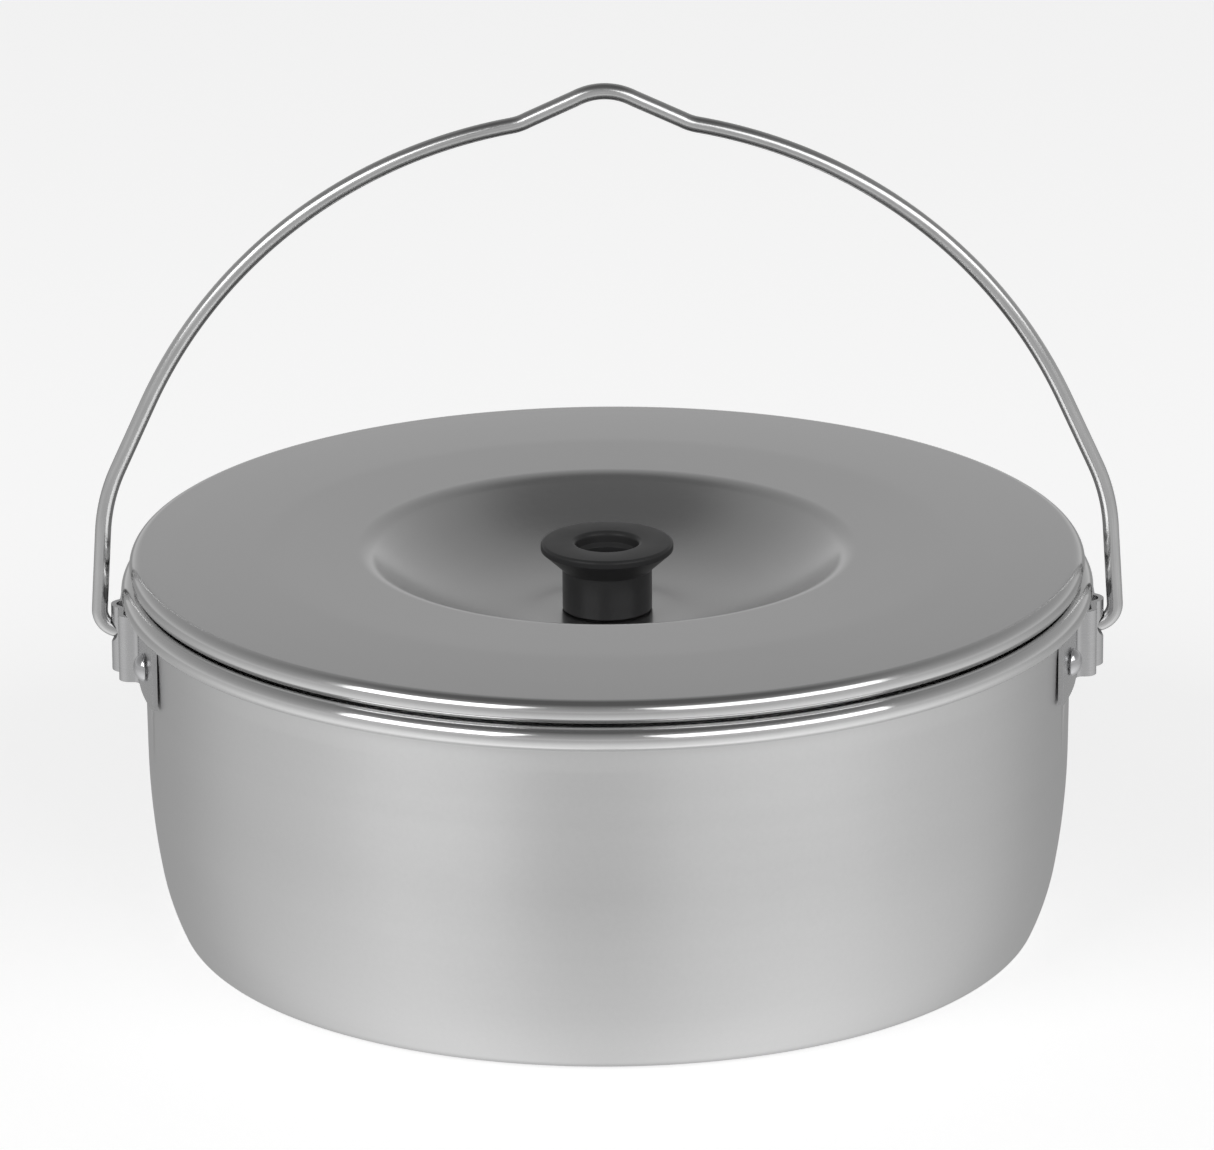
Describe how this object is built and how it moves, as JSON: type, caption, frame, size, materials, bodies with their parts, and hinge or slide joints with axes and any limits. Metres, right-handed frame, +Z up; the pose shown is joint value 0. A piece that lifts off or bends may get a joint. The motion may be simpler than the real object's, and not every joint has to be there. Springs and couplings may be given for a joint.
{
  "type": "camp kettle",
  "caption": "Wide round aluminium camp kettle with a rolled rim, a dished lid with a black spool knob, and a wire bail that swings in two riveted ears.",
  "frame": {"origin": "centre of the pot underside, at the centre of the bottom of the box", "axes": "+Z up along the pot axis, +X towards the right ear, the upright bail in the XZ plane, -Y towards the viewer"},
  "size_m": [0.2302, 0.2166, 0.1947],
  "materials": {
    "satin_aluminium": "spun satin aluminium with fine rings round the axis",
    "ear_aluminium": "bent plate aluminium, lightly brushed",
    "rivet_aluminium": "bright upset rivet heads",
    "bail_steel": "drawn steel wire, bright with fine draw lines",
    "black_phenolic": "moulded black, satin",
    "zinc_steel": "zinc plated screw, washer and nut"
  },
  "bodies": {
    "pot": {"pot_body": "satin_aluminium", "ear_bracket_left": "ear_aluminium", "ear_bracket_right": "ear_aluminium", "rivet_left_front": "rivet_aluminium", "rivet_left_rear": "rivet_aluminium", "rivet_right_front": "rivet_aluminium", "rivet_right_rear": "rivet_aluminium"},
    "lid": {"lid_plate": "satin_aluminium", "lid_knob": "black_phenolic", "knob_screw": "zinc_steel", "knob_washer": "zinc_steel", "knob_nut": "zinc_steel"},
    "bail": {"bail_handle": "bail_steel"}
  },
  "joints": [
    {"name": "bail_swing", "type": "hinge", "parent": "pot", "child": "bail", "pos_m": [0, 0, 0.069], "axis": [1, 0, 0], "range_deg": [-120, 120]},
    {"name": "lid_lift", "type": "slide", "parent": "pot", "child": "lid", "axis": [0, 0, 1], "range_m": [0, 0.016]}
  ]
}
